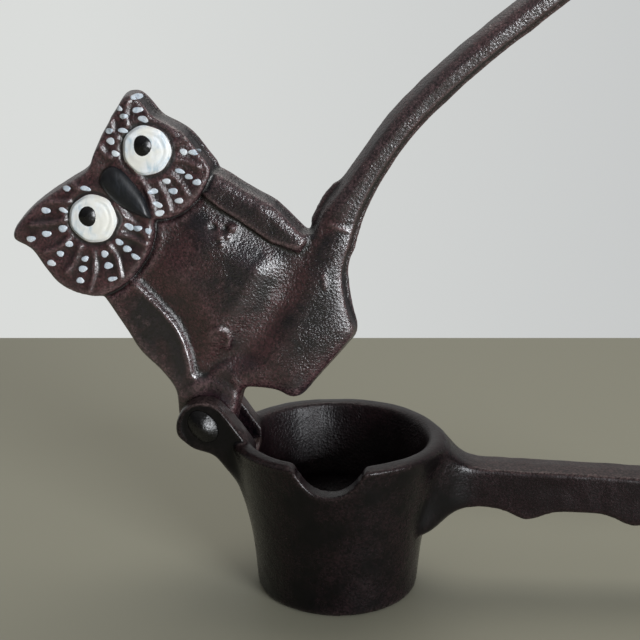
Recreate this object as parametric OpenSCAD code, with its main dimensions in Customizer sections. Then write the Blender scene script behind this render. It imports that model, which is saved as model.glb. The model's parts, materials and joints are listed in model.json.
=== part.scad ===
// Lever nutcracker press: a cast-iron cup with a grip, and an owl-shaped cast lever hinged to it.
//
// Frame: origin at the centre of the cup's flat base, +Z up, +X along the lower grip,
// -Y towards the owl's face. The lever is drawn closed (owl upright), then swung open.
// Outlines are lists of [x, z] points seen from the front; thickness runs along Y.

/* [Cup] */
// Height of the cup from the table to its rim
cup_h = 40; // [38:0.5:46]
// Outside radius of the cup at the table
cup_base_r = 20.4; // [19:0.2:24]
// Outside radius of the cup at the rim
cup_rim_r = 27.2; // [26:0.2:30]
// Thickness of the wall at the rim
rim_wall = 4.8; // [4:0.1:6]
// Rounding of the rim's edges
rim_round = 1.4; // [1:0.1:1.9]
// Thickness of the wall low in the bowl
low_wall = 5; // [4.5:0.1:7]
// Depth of the bowl below the rim
bowl_depth = 27; // [22:0.5:30]
// Radius where the bowl's side rounds into its floor
bowl_round = 9; // [6:0.5:12]

/* [Spout notch] */
// Width of the round notch in the front of the rim
notch_w = 15; // [10:0.5:20]
// Depth of the notch below the rim
notch_depth = 7; // [5:0.5:12]
// Sideways place of the notch from the cup's centre
notch_shift = -0.8; // [-4:0.1:4]

/* [Hinge] */
// Distance of the hinge pin from the cup's centre
hinge_reach = 32; // [31:0.5:36]
// Height of the hinge pin above the rim
hinge_rise = 4.3; // [3.5:0.1:7]
// Radius of the rounded end of the ears
ear_r = 6.8; // [6:0.1:7.4]
// Thickness of each ear
ear_t = 6.4; // [5:0.1:8]
// Width of the slot between the ears
slot_w = 9.8; // [8:0.1:12]
// Radius of the lever's knuckle between the ears
knuckle_r = 7.2; // [6.5:0.1:8]
// Gap between the knuckle and the floor of the slot
knuckle_gap = 1; // [0.6:0.1:2]
// Gap on each side between the lever and an ear
side_gap = 0.15; // [0.1:0.05:0.4]
// How far the ears' inner ends stand into the bowl
ear_pad = 2.6; // [1:0.1:4]

/* [Rivet] */
// Diameter of the hinge rivet
rivet_d = 5; // [4:0.1:6]
// Radial clearance of the rivet in the lever
rivet_gap = 0.05; // [0.02:0.01:0.1]
// Length of the oval rivet head
head_l = 8.8; // [7:0.1:10]
// Width of the oval rivet head
head_w = 6.4; // [6.2:0.1:8]
// Height of the rivet head
head_h = 1.7; // [1:0.1:2.5]
// Diameter of the hammered tail
tail_d = 7.6; // [6.6:0.1:9]
// Height of the hammered tail
tail_h = 1.3; // [0.8:0.1:2]

/* [Lower grip] */
// Reach of the grip's end from the cup's centre
grip_reach = 128; // [100:1:150]
// Height of the grip between its finger bumps
grip_h = 10.6; // [8:0.2:14]
// Width of the grip
grip_w = 10; // [8:0.2:14]
// Distance of the grip's top below the rim
grip_drop = 6.7; // [6:0.1:12]
// How far the grip's far end droops
grip_droop = 4; // [0:0.2:8]
// Distance between finger bumps
finger_pitch = 26.2; // [22:0.2:32]
// Distance of the first finger bump from the cup's centre
finger_start = 47; // [40:0.5:52]
// Height of the finger bumps
finger_bump = 2.8; // [1:0.1:4]
// Width that the grip's root adds where it flares into the cup
root_flare = 12; // [4:0.5:14]
// Height that the root adds above the grip
root_up = 13; // [4:0.5:14]
// Height that the root adds below the grip
root_down = 6.5; // [3:0.5:9]

/* [Owl] */
// Width of the owl's body across its wings
owl_w = 51; // [46:0.5:56]
// Height of the owl's shoulders above the hinge
shoulder_h = 37; // [34:0.5:40]
// Width of the owl's head
face_w = 49; // [44:0.5:54]
// Height of the owl's head with its ear tufts
face_h = 31; // [27:0.5:35]
// How far the head stands in front of the wings
face_proud = 1.3; // [0.8:0.1:2.5]
// How far the belly lies behind the wings
belly_sunk = 1.2; // [0.6:0.1:2]
// Width of each wing beside the belly
wing_w = 9.6; // [7:0.2:12]
// Width of the draft that narrows each side towards its face
draft = 0.75; // [0.4:0.05:1]
// Rounding of the face edges
edge_round = 1.1; // [0.6:0.1:1.3]

/* [Press foot] */
// Distance from the hinge to the near end of the press face
foot_start = 17.4; // [15:0.2:20]
// Length of the press face
foot_l = 23.4; // [18:0.2:26]
// Distance of the press face below the hinge
foot_drop = 14.4; // [12:0.2:16]

/* [Upper handle] */
// Length of the handle from the owl's flank to its tip
arm_l = 105; // [85:1:130]
// Height of the handle's section
arm_h = 7.7; // [6.5:0.1:9]
// Width of the handle's section
arm_w = 9.8; // [8:0.1:12]
// Height of the handle where it leaves the owl
arm_root_h = 12.4; // [10:0.2:14]
// How far the handle arches above its root
arm_rise = 5.3; // [3:0.1:8]
// How far the handle's tip comes back down from the arch
arm_fall = 11.5; // [6:0.5:14]

/* [Face] */
// Diameter of each white eye
eye_d = 12; // [10:0.1:13]
// Distance between the eyes' centres
eye_gap = 20.8; // [19:0.1:23]
// Height of the eyes above the bottom of the head
eye_up = 16.8; // [15:0.1:18]
// Height of the eyes' domes
eye_h = 1.3; // [0.8:0.1:2]
// Diameter of each pupil
pupil_d = 4.7; // [3:0.1:6]
// Height of the pupils above the eyes
pupil_h = 0.5; // [0.3:0.1:1]
// How far the owl looks up
look_up = 1.2; // [-2:0.1:2]
// Length of the beak
beak_l = 15.4; // [12:0.2:18]
// Width of the beak
beak_w = 5.6; // [5:0.1:6.4]
// Height of the beak
beak_h = 1.5; // [1:0.1:2.5]
// Length of each painted feather dot
dot_l = 2.1; // [1.6:0.1:2.2]
// Height of the paint in a feather dot
dot_h = 0.25; // [0.1:0.05:0.4]

/* [Pose] */
// Angle by which the lever is drawn open
open_angle = 50; // [0:5:90]

/* [Hidden] */
$fn = 96;
over = 1;                                  // how far a cutter runs past what it cuts
hinge_z = cup_h + hinge_rise;
fork_w = slot_w + 2*ear_t;                 // over both ears
tongue_w = slot_w - 2*side_gap;            // the lever's plate, which runs between the ears
plate_y = tongue_w/2;
face_y = plate_y + face_proud;             // front of the head
rivet_r = rivet_d/2;
face_x = 0.53*owl_w;                       // middle of the owl's head
face_z = shoulder_h - 2.5;                 // bottom of the owl's head
eyes_x = face_x + 4.7;                     // middle between the eyes, which look a little to the side
handle_x = owl_w + 1;                      // the handle starts at the owl's flank
handle_z = 4.9;                            // middle of the handle's root above the hinge
iron = [0.17, 0.13, 0.12];
dark_iron = [0.12, 0.10, 0.10];

// ---------- curves ----------

// Sum of a list of points.
function sum(p, k = 0) = k == len(p) - 1 ? p[k] : p[k] + sum(p, k + 1);

// One span of a smooth curve through b and c, with a and d as its neighbours.
function span(a, b, c, d, t) =
    b + 0.5*t*((c - a) + t*(2*a - 5*b + 4*c - d + t*(3*(b - c) + d - a)));

// A smooth closed curve through the points, with n steps between two of them.
function loop(p, n) = let (m = len(p))
    [for (i = [0 : m - 1]) for (k = [0 : n - 1])
        span(p[(i + m - 1) % m], p[i], p[(i + 1) % m], p[(i + 2) % m], k/n)];

// A smooth open curve through the points.
function path(p, n) = let (m = len(p))
    [for (i = [0 : m - 2]) for (k = [0 : n - 1])
        span(p[max(i - 1, 0)], p[i], p[i + 1], p[min(i + 2, m - 1)], k/n), p[m - 1]];

// Points of an arc about c from angle a to angle b, anticlockwise seen from the front.
function arc(c, r, a, b, n) = [for (k = [0 : n]) let (w = a + (b - a)*k/n) c + r*[cos(w), sin(w)]];

// An anticlockwise outline drawn in by d.
function drawn_in(p, d) = let (m = len(p))
    [for (i = [0 : m - 1])
        let (t = p[(i + 1) % m] - p[(i + m - 1) % m]) p[i] - d*[t.y, -t.x]/norm(t)];

// ---------- solids from curves ----------

// Twice the area of the corner a, b, c, positive where it turns left seen from up.
function corner(a, b, c, up) = cross(b - a, c - b)*up;

// Triangles that fill a flat ring of points, as places in the list p. The plumpest corner
// that holds no other point comes off first.
function filled(p, up, ring) = let (m = len(ring)) m == 3 ? [ring] : let (
    ends = [for (k = [0 : m - 1]) [ring[(k + m - 1) % m], ring[k], ring[(k + 1) % m]]],
    areas = [for (e = ends) corner(p[e[0]], p[e[1]], p[e[2]], up)],
    inward = [for (k = [0 : m - 1]) if (areas[k] <= 0) ring[k]],
    plump = [for (k = [0 : m - 1]) let (a = p[ends[k][0]], b = p[ends[k][1]], c = p[ends[k][2]])
        areas[k] <= 0 || len([for (i = inward) if (corner(c, a, p[i], up) >= 0 && p[i] != a && p[i] != c
            && corner(a, b, p[i], up) >= 0 && corner(b, c, p[i], up) >= 0) i]) > 0
        ? 0 : areas[k]/pow(max(norm(b - a), norm(c - b), norm(a - c)), 2)],
    best = search(max(plump), plump)[0])
    concat([ends[best]], filled(p, up, [for (k = [0 : m - 1]) if (k != best) ring[k]]));

// Fills one ring, which runs anticlockwise seen from up.
function cap(ring) = let (m = len(ring), up = sum([for (i = [1 : m - 2])
    cross(ring[i] - ring[0], ring[i + 1] - ring[0])])) filled(ring, up/norm(up), [for (i = [0 : m - 1]) i]);

// A closed skin over rings of equal length, the first and last ring filled in. Rings run
// anticlockwise seen from the last one.
module skin(rings) {
    m = len(rings[0]);
    n = len(rings);
    polyhedron(
        points = [for (ring = rings) each ring],
        faces = [
            each cap(rings[0]),
            for (k = [0 : n - 2]) for (i = [0 : m - 1])
                each [[k*m + i, (k + 1)*m + (i + 1) % m, k*m + (i + 1) % m],
                      [k*m + i, (k + 1)*m + i, (k + 1)*m + (i + 1) % m]],
            for (t = cap(rings[n - 1])) [for (i = [2 : -1 : 0]) (n - 1)*m + t[i]],
        ]);
}

// A cast plate with a parting line at y = 0: its sides lean in towards both faces,
// and its face edges are rounded. front and back are the distances of its two faces.
module cast_plate(outline, front, back, lean = draft) {
    p = loop(outline, 3);
    steps = [
        [back, lean + edge_round],
        [back - 0.35*edge_round, lean + 0.3*edge_round],
        [back - edge_round, lean],
        [0, 0],
        [-front + edge_round, lean],
        [-front + 0.35*edge_round, lean + 0.3*edge_round],
        [-front, lean + edge_round],
    ];
    skin([for (s = steps) [for (q = drawn_in(p, s[1])) [q.x, s[0], q.y]]]);
}

// A cast bar along X: stations are [x, z of the middle, height, width]. Its section is
// widest in height at the parting line y = 0, and leans in towards the front and the back.
module cast_bar(stations, lean) {
    quarter = [[0.8, 1 - 0.75*lean], [0.95, 1 - lean], [1, 0.9 - 1.35*lean]];
    section = concat([[0, -1]], [for (k = [0 : 2]) [quarter[k].x, -quarter[k].y]],
        [for (k = [2 : -1 : 0]) quarter[k]], [[0, 1]],
        [for (k = [0 : 2]) [-quarter[k].x, quarter[k].y]],
        [for (k = [2 : -1 : 0]) [-quarter[k].x, -quarter[k].y]]);
    skin([for (q = stations) [for (c = section) [q[0], c.x*q[3]/2, q[1] + c.y*q[2]/2]]]);
}

// A low oval dome on the plane y = 0, rising towards -Y, with its length along X.
module oval_dome(length, width, height, n = 24, rings = 4) {
    skin([for (k = [0 : rings - 1]) let (w = 88*k/(rings - 1))
             [for (i = [0 : n - 1]) [cos(w)*length/2*cos(i*360/n), -height*sin(w),
                                     cos(w)*width/2*sin(i*360/n)]]]);
}

// ---------- lower casting ----------

// Radius of the cup's outside at height z: nearly straight at the table, flaring to the rim.
function cup_r(z) = cup_base_r + (cup_rim_r - cup_base_r)*pow(z/cup_h, 1.5);

module cup_outside() {
    base_edge = 0.8;
    rotate_extrude() polygon(concat(
        [[0, 0], [cup_base_r - base_edge, 0]],
        [for (k = [0 : 12]) let (z = base_edge + (cup_h - rim_round - base_edge)*k/12) [cup_r(z), z]],
        arc([cup_rim_r - rim_round, cup_h - rim_round], rim_round, 15, 90, 5),
        [[0, cup_h]]));
}

module bowl() {
    floor_z = cup_h - bowl_depth;
    side_r = cup_r(floor_z + bowl_round) - low_wall;
    mouth_r = cup_rim_r - rim_wall;
    rotate_extrude() polygon(concat(
        [[0, floor_z]],
        arc([side_r - bowl_round, floor_z + bowl_round], bowl_round, 270, 360, 8),
        [[mouth_r, cup_h - rim_round]],
        arc([mouth_r + rim_round, cup_h - rim_round], rim_round, 170, 90, 5),
        [[mouth_r + rim_round, cup_h + over], [0, cup_h + over]]));
}

// Round notch in the front of the rim, for tipping the shells out.
module notch() {
    notch_r = notch_w/2;
    bottom_z = cup_h - notch_depth;
    lip_r = 2.2;
    translate([notch_shift, -cup_rim_r/2, 0]) rotate([90, 0, 0]) linear_extrude(cup_rim_r)
        polygon(concat(
            arc([0, bottom_z + notch_r], notch_r, 205, 335, 14),
            arc([notch_r + lip_r, cup_h - lip_r], lip_r, 180, 90, 5),
            [[notch_r + lip_r, cup_h + over], [-notch_r - lip_r, cup_h + over]],
            arc([-notch_r - lip_r, cup_h - lip_r], lip_r, 90, 0, 5)));
}

// Ears and the web that carries them down the cup's side, relative to the hinge.
module ears() {
    rim_z = -hinge_rise;
    pad_x = hinge_reach - (cup_rim_r - rim_wall) + ear_pad;
    web_in = 0.8*low_wall;
    function side_x(z) = hinge_reach - cup_r(z);
    outline = concat(
        arc([-0.2, -0.6], ear_r, 50, 200, 8),
        [[-4.8, -4.7],
         [-1.8, -ear_r],
         [2, rim_z - 3.8],
         [4.6, rim_z - 7.4],
         [side_x(0.72*cup_h) - 0.4, rim_z - 0.28*cup_h],
         [side_x(0.6*cup_h), rim_z - 0.4*cup_h],
         [side_x(0.51*cup_h), rim_z - 0.49*cup_h]],
        arc([side_x(0.43*cup_h) + web_in/2, rim_z - 0.57*cup_h], 0.55*web_in, 185, 355, 5),
        [[side_x(0.5*cup_h) + web_in, rim_z - 0.5*cup_h],
         [side_x(0.65*cup_h) + web_in, rim_z - 0.35*cup_h],
         [pad_x - 0.4, rim_z - 7.5],
         [pad_x, rim_z - 5],
         [pad_x, rim_z - 1.6],
         [pad_x - 1.4, rim_z + 0.6],
         [pad_x - 4.6, rim_z + 5]]);
    // half the web's outline from the side: full width at the ears, drawn in down the cup
    half = [[fork_w/2 + over, ear_r + over], [fork_w/2 + over, rim_z - 3], [0.9*fork_w/2, rim_z - 8],
            [0.7*fork_w/2, rim_z - 14], [0.45*fork_w/2, rim_z - 20], [0, rim_z - 0.62*cup_h]];
    other_half = [for (k = [len(half) - 2 : -1 : 0]) [-half[k].x, half[k].y]];
    translate([-hinge_reach, 0, hinge_z]) intersection() {
        cast_plate(outline, fork_w/2, fork_w/2, 0.3);
        translate([-ear_r - over, 0, 0]) rotate([90, 0, 90]) linear_extrude(hinge_reach)
            polygon(concat(half, other_half));
    }
}

// Grip with finger bumps. Its root flares into the cup's wall.
module grip() {
    root_x = cup_base_r;
    root_l = 7.3;
    top_z = cup_h - grip_drop;
    // 1 on a finger bump, 0 between two of them
    function bump(x) = pow(cos(180*(x - finger_start)/finger_pitch), 6);
    function flare(x) = exp(-pow((x - root_x)/root_l, 2));
    function droop(x) = grip_droop*pow((x - root_x)/(grip_reach - root_x), 1.3);
    body = [for (x = [root_x : 2.4 : grip_reach - 5]) let (
        f = flare(x),
        high = min(top_z - droop(x) + root_up*f, cup_h - 0.7),
        low = top_z - droop(x) - grip_h - finger_bump*bump(x)*(1 - f) - root_down*f)
        [x, (high + low)/2, high - low, grip_w + root_flare*f]];
    last = body[len(body) - 1];
    tip = [for (w = [25 : 20 : 85]) [last[0] + (grip_reach - last[0])*sin(w), last[1],
                                     last[2]*(0.25 + 0.75*cos(w)), last[3]*(0.3 + 0.7*cos(w))]];
    cast_bar(concat(body, tip), 0.06);
}

module cup_casting() {
    slot_floor = hinge_z - knuckle_r - knuckle_gap;
    slot_end = hinge_reach + ear_r + over;
    slot_start = cup_rim_r - rim_wall - ear_pad - 4;
    color(iron) difference() {
        union() {
            difference() {
                union() {
                    cup_outside();
                    grip();
                }
                bowl();
            }
            ears();
        }
        translate([-slot_end, -slot_w/2, slot_floor])
            cube([slot_end - slot_start, slot_w, cup_h]);
        translate([-hinge_reach, fork_w/2 + over, hinge_z]) rotate([90, 0, 0])
            cylinder(r = rivet_r, h = fork_w + 2*over);
        notch();
    }
}

// ---------- lever, drawn closed about the hinge ----------

module swung_open() {
    translate([-hinge_reach, 0, hinge_z]) rotate([0, -open_angle, 0]) children();
}

// Owl's body, neck, knuckle and press foot in one outline.
function body_outline() =
    let (sx = owl_w/51, sz = shoulder_h/37, foot_end = foot_start + foot_l)
    concat(
        arc([0, 0], knuckle_r, 155, 305, 7),
        [[8.4, -3.8], [10.9, -2.8], [12.8, -4.4], [foot_start - 1.6, -8.8],
         [foot_start - 1, -foot_drop + 2.6], [foot_start + 0.2, -foot_drop + 0.7],
         [foot_start + 2.2, -foot_drop], [foot_start + 5, -foot_drop],
         [foot_end - 4, -foot_drop], [foot_end - 1.2, -foot_drop + 0.25],
         [foot_end + 0.9, -foot_drop + 1.7], [foot_end + 3.4, -9.2], [foot_end + 8.8, -3.1], [53.5*sx, -0.9], [57*sx, 0.8], [57*sx, 6],
         [54.5*sx, 9.2], [51.9*sx, 10.6], [51.5*sx, 12.2], [52*sx, 20.7*sz],
         [50.6*sx, 28*sz], [49.3*sx, 35.8*sz],
         [46*sx, 42*sz], [36*sx, 46*sz], [18*sx, 46*sz], [8.5*sx, 42*sz], [5.7*sx, 35.7*sz],
         [3.5*sx, 29*sz], [1.5*sx, 23*sz], [0.9*sx, 16.5*sz], [-0.4, 11], [-2.6, 8.4], [-5, 6.1]]);

// Owl's head: ear tufts above, the two lobes of the facial disc below.
function face_outline() =
    let (sx = face_w/49, sz = face_h/31)
    [for (q = [[22.4, 2.2], [23.6, 6.5], [24.7, 12], [24.2, 16], [23.3, 20], [24, 24.6], [23.8, 27.4],
               [21.4, 29.3], [17.4, 29], [12, 28.3], [5.6, 26.9], [3, 26], [0.6, 26.3], [-3.4, 27.8],
               [-10, 29.9], [-16, 30.9], [-20.8, 30.7], [-23.2, 28.6], [-22.4, 24], [-23.8, 19],
               [-24.7, 14], [-24.1, 9.5], [-21.8, 5], [-19.4, 3], [-15, 1], [-9.5, 0.2], [-3.4, 1],
               [1.4, 3.1], [3.1, 4.6], [4.4, 3], [8.4, 0.8], [13.5, 0], [18.6, 0.4]])
        [face_x + q.x*sx, face_z + q.y*sz]];

// Sunk belly between the wings, with its soft lower edge above the press foot.
module belly() {
    sx = owl_w/51;
    left = wing_w + 3;
    right = owl_w - wing_w + 1.6;
    outline = [[left - 1.5, 15], [10*sx, 9.2], [12.5*sx, 5], [20*sx, 4], [28*sx, 4.2], [36*sx, 5.6],
               [44*sx, 8.8], [right + 1.2, 16], [right, 26], [right - 1.6, shoulder_h],
               [left + 1.6, shoulder_h], [left + 0.6, 28], [left - 0.4, 21]];
    p = loop(outline, 3);
    skin([for (s = [[-plate_y + belly_sunk, 1], [-plate_y - 0.4, -1]])
             [for (q = drawn_in(p, s[1])) [q.x, s[0], q.y]]]);
}

// Handle: it leaves the owl's flank, arches over the cup and comes down towards the grip.
module upper_handle() {
    // [share of the length, share of the rise, share of the fall, share of the root's extra height]
    course = [[-0.05, 0, 0, 0.2], [0.01, 0, 0, 0.94], [0.05, 0.25, 0, 0.85], [0.09, 0.5, 0, 0.55],
              [0.14, 0.67, 0, 0.22], [0.2, 0.84, 0, 0.04], [0.3, 1, 0, 0], [0.4, 1, 0.05, 0],
              [0.52, 1, 0.2, 0], [0.64, 1, 0.43, 0], [0.76, 1, 0.67, 0], [0.87, 1, 0.86, 0],
              [0.96, 1, 0.97, 0]];
    run = [for (c = course) [handle_x + c[0]*arm_l, handle_z + c[1]*arm_rise - c[2]*arm_fall,
                             arm_h + c[3]*(arm_root_h - arm_h), c[0] < 0 ? arm_w - 1.4 : arm_w]];
    last = run[len(run) - 1];
    tip = [for (w = [30 : 20 : 85]) [last[0] + 0.04*arm_l*sin(w), last[1],
                                     arm_h*(0.25 + 0.75*cos(w)), arm_w*(0.3 + 0.7*cos(w))]];
    cast_bar(concat(path(run, 2), tip), 0.28);
}

module owl_lever() {
    color(iron) swung_open() difference() {
        union() {
            difference() {
                cast_plate(body_outline(), plate_y, plate_y);
                belly();
            }
            cast_plate(face_outline(), face_y, plate_y + 0.2);
            upper_handle();
        }
        translate([0, plate_y + over, 0]) rotate([90, 0, 0])
            cylinder(r = rivet_r + rivet_gap, h = 2*plate_y + 2*over);
    }
}

// ---------- rivet ----------

module hinge_rivet() {
    head_tilt = 52;
    color(dark_iron) translate([-hinge_reach, 0, hinge_z]) {
        translate([0, fork_w/2, 0]) rotate([90, 0, 0]) cylinder(r = rivet_r, h = fork_w);
        translate([0, -fork_w/2, 0]) rotate([0, head_tilt, 0]) oval_dome(head_l, head_w, head_h);
        translate([0, fork_w/2, 0]) rotate([-90, 0, 0]) cylinder(d1 = tail_d, d2 = tail_d - 2, h = tail_h);
    }
}

// ---------- painted face ----------

// Places children on the front of the head, at x, z from the middle between the eyes.
module on_face(x, z) {
    swung_open() translate([eyes_x + x, -face_y, face_z + eye_up + z]) children();
}

// A dome of the given diameter and height rising towards -Y from the plane y = 0.
module round_dome(d, h) {
    ball_r = (d*d/4 + h*h)/(2*h);
    rotate([90, 0, 0]) rotate_extrude()
        polygon(concat([[0, 0]], arc([0, h - ball_r], ball_r, 90 - asin(d/2/ball_r), 90, 6)));
}

// Bore or peg for the pupil, which sits above the middle of the eye.
module pupil_place(side) {
    translate([0.2 + 0.3*side, 0, look_up]) rotate([90, 0, 0]) children();
}

module eye_white(side) {
    color([0.91, 0.90, 0.86]) on_face(side*eye_gap/2, 0) difference() {
        round_dome(eye_d, eye_h);
        pupil_place(side) translate([0, 0, -over]) cylinder(d = pupil_d, h = eye_h + 2*over);
    }
}

module pupil(side) {
    color([0.04, 0.04, 0.05]) on_face(side*eye_gap/2, 0) pupil_place(side) {
        cylinder(d = pupil_d, h = eye_h);
        translate([0, 0, eye_h]) rotate([-90, 0, 0]) round_dome(pupil_d, pupil_h);
    }
}

module beak_paint() {
    top = [1.2, 4];
    tilt = 13;
    // half widths along the beak, from its rounded top to its point
    halves = [[0, 0.16], [0.06, 0.38], [0.2, 0.5], [0.42, 0.47], [0.65, 0.34], [0.85, 0.17], [1, 0.03]];
    left = [for (h = halves) [-h[1]*beak_w, -h[0]*beak_l]];
    right = [for (k = [len(halves) - 1 : -1 : 0]) [halves[k][1]*beak_w, -halves[k][0]*beak_l]];
    p = loop(concat(left, right), 2);
    mid = [0, -0.4*beak_l];
    color([0.09, 0.10, 0.11]) on_face(top.x, top.y) rotate([0, tilt, 0])
        skin([for (w = [0, 12, 35, 60, 84])
                 [for (q = p) let (c = mid + (q - mid)*cos(w)) [c.x, -beak_h*sin(w), c.y]]]);
}

// Painted dots in rays that fan out from an eye. A ray is [angle, distance of its first
// dot, step to the next, dots].
module feather_dots(side, rays) {
    color([0.77, 0.81, 0.86]) for (ray = rays) for (k = [0 : ray[3] - 1]) {
        d = ray[1] + k*ray[2];
        on_face(side*eye_gap/2 + d*cos(ray[0]), d*sin(ray[0])) rotate([0, -ray[0], 0])
            oval_dome(dot_l, 0.68*dot_l, dot_h, 8, 2);
    }
}

module eye_white_left() eye_white(-1);
module eye_white_right() eye_white(1);
module pupil_left() pupil(-1);
module pupil_right() pupil(1);
module feather_dots_left() feather_dots(-1, [
    [52, 7.4, 0, 1], [81, 8.6, 0, 1], [118, 7.6, 3.2, 2], [148, 8.1, 3.5, 3], [176, 8.7, 3.2, 3],
    [205, 9.6, 2.8, 3], [235, 8.7, 2.8, 3], [266, 8.1, 2.4, 3], [297, 8.6, 2.3, 3]]);
module feather_dots_right() feather_dots(1, [
    [-131, 9.1, 2.4, 3], [-108, 8.3, 2.4, 3], [-82, 8.7, 2.3, 3], [-52, 8.6, 2.6, 2],
    [49, 7.3, 2.4, 3], [76, 7.3, 2.2, 2], [103, 8.4, 0, 1], [136, 8, 0, 1]]);

cup_casting();
owl_lever();
hinge_rivet();
eye_white_left();
eye_white_right();
pupil_left();
pupil_right();
beak_paint();
feather_dots_left();
feather_dots_right();
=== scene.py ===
# %% [markdown]
# # A cast-iron lever nutcracker
# The tool is two sand castings on one rivet. The lower casting is a cup with a grip. The upper
# one is an owl, whose foot presses down into the cup. The owl's eyes, beak and feather dots
# are thick brushed enamel. CAD has made every form and joint already, so this file gives each
# piece the surface that a foundry, a painter and years of use have left on it.

# %% Load the frame
import itertools
import json
import math
import bmesh
import bpy
import numpy as np
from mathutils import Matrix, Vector
from mathutils.bvhtree import BVHTree
from mathutils.kdtree import KDTree


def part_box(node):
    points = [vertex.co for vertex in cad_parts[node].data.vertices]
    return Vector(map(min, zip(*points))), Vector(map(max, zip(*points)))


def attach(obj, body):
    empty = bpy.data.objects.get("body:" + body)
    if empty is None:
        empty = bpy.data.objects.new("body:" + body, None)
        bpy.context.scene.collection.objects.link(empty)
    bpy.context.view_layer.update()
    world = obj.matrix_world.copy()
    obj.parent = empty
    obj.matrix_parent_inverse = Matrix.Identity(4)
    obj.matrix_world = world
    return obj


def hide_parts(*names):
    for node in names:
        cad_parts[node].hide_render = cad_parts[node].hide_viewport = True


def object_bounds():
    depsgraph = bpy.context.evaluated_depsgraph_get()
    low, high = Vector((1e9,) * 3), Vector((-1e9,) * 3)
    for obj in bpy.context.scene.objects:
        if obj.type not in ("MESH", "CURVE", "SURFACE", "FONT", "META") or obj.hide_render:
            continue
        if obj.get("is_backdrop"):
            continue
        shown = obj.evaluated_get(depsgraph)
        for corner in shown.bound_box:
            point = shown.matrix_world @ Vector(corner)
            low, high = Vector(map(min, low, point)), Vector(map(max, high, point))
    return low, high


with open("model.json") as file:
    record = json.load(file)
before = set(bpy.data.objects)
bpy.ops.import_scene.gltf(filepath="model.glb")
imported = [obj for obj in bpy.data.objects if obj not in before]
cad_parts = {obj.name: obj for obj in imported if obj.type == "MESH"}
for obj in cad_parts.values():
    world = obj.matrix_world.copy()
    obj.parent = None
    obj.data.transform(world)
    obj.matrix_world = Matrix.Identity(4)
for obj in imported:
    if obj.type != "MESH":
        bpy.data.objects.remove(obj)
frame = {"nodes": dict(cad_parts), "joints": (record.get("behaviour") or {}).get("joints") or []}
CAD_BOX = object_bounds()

MM = 0.001         # Blender measures in metres, this file thinks in millimetres
print("nodes:", sorted(frame["nodes"]))

# %% [markdown]
# ## Camera
# The photograph was taken with a long phone lens, from low down and a little to the right of
# the hinge. A camera could be aimed by hand until the picture fits. Here its place and turn
# were worked out and typed in, and a 56 mm lens on a 36 mm sensor gives the same perspective.

# %% Camera
LENS = 56.25           # mm
CAMERA_PLACE = (0.01198, -0.23590, 0.12658)
CAMERA_PITCH = 13.8    # degrees down
CAMERA_TURN = 4.0      # degrees to the left
camera = bpy.data.objects.new("photo_camera", bpy.data.cameras.new("photo_camera"))
camera.data.lens = LENS
camera.data.sensor_width = 36
camera.data.clip_start = 0.01
camera.location = CAMERA_PLACE
camera.rotation_euler = (math.radians(90 - CAMERA_PITCH), 0, math.radians(CAMERA_TURN))
bpy.context.scene.collection.objects.link(camera)
bpy.context.scene.camera = camera
print("camera at", CAMERA_PLACE)

# %% [markdown]
# ## Colours
# Paint and iron are judged by eye in sRGB, but Blender mixes light in linear values. One
# function turns a hex colour into linear numbers, so that every colour below stays readable.

# %% Colour helper
def colour(hex_code):
    """An sRGB hex colour as Blender's linear RGBA."""
    parts = [int(hex_code[i:i + 2], 16) / 255 for i in (1, 3, 5)]
    linear = [c / 12.92 if c <= 0.04045 else ((c + 0.055) / 1.055) ** 2.4 for c in parts]
    return linear + [1.0]


print("middle grey in linear light is %.3f" % colour("#808080")[0])

# %% [markdown]
# ## Nodes
# A material could be clicked together in the shader editor. In code, one small function adds
# any node with its settings and links, which keeps each material readable as a recipe. Patterns
# are sized in real millimetres, so a second function turns a grain's width into a Scale.

# %% Node helpers
def add(owner, kind, settings=None, **inputs):
    """Adds a node. A value that is a socket is linked, anything else is set on the input.

    An input goes by its name, or by its number as in i0 where names repeat.
    """
    node = owner.node_tree.nodes.new("ShaderNode" + kind)
    for key, value in (settings or {}).items():
        setattr(node, key, value)
    for key, value in inputs.items():
        numbered = key[0] == "i" and key[1:].isdigit()
        socket = node.inputs[int(key[1:]) if numbered else key.replace("_", " ")]
        if isinstance(value, bpy.types.NodeSocket):
            owner.node_tree.links.new(value, socket)
        else:
            socket.default_value = value
    return node


def new_material(name):
    """An empty node material, and the shader that feeds its surface."""
    material = bpy.data.materials.new(name)
    material.use_nodes = True
    material.node_tree.nodes.clear()
    shader = add(material, "BsdfPrincipled")
    add(material, "OutputMaterial", Surface=shader.outputs["BSDF"])
    return material, shader


def finish_surface(material, shader, tone, rough, bump):
    """Links the colour, roughness and bump to the shader."""
    for socket, name in ((tone, "Base Color"), (rough, "Roughness"), (bump, "Normal")):
        material.node_tree.links.new(socket, shader.inputs[name])
    print("material", material.name)


def per_mm(size):
    """The Scale of a noise whose grain is `size` millimetres across."""
    return 1 / (size * MM)


print("a grain of 1 mm has Scale", per_mm(1))

# %% [markdown]
# ## Blackened cast iron
# Grey iron poured in green sand keeps the sand's grain as fine pebbles. It was blackened and
# oiled, so it isn't bare metal to the eye: a dark oxide skin under oil reflects like a varnish.
# That is why Metallic stays at 0, and the IOR says how oily the skin looks. A painted image
# could show what happened where, but masks on the mesh follow the carved shape. There are four,
# made further down. `high` is rubbed to a dull grey, `low` darkens the hollows with soot and
# painted shade, and `sand` tells how rough the cast is. `rust` is old oil and rust where it is
# positive, and whole black skin where it is negative.

# %% Iron colour
# soot, and painted shade: this near black fills every hollow, crease and groove
SOOT_AND_SHADE = "#050405"       # what lies in the crevices
FLECK_SHARE = 0.6      # how much rust a fleck shows


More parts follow.
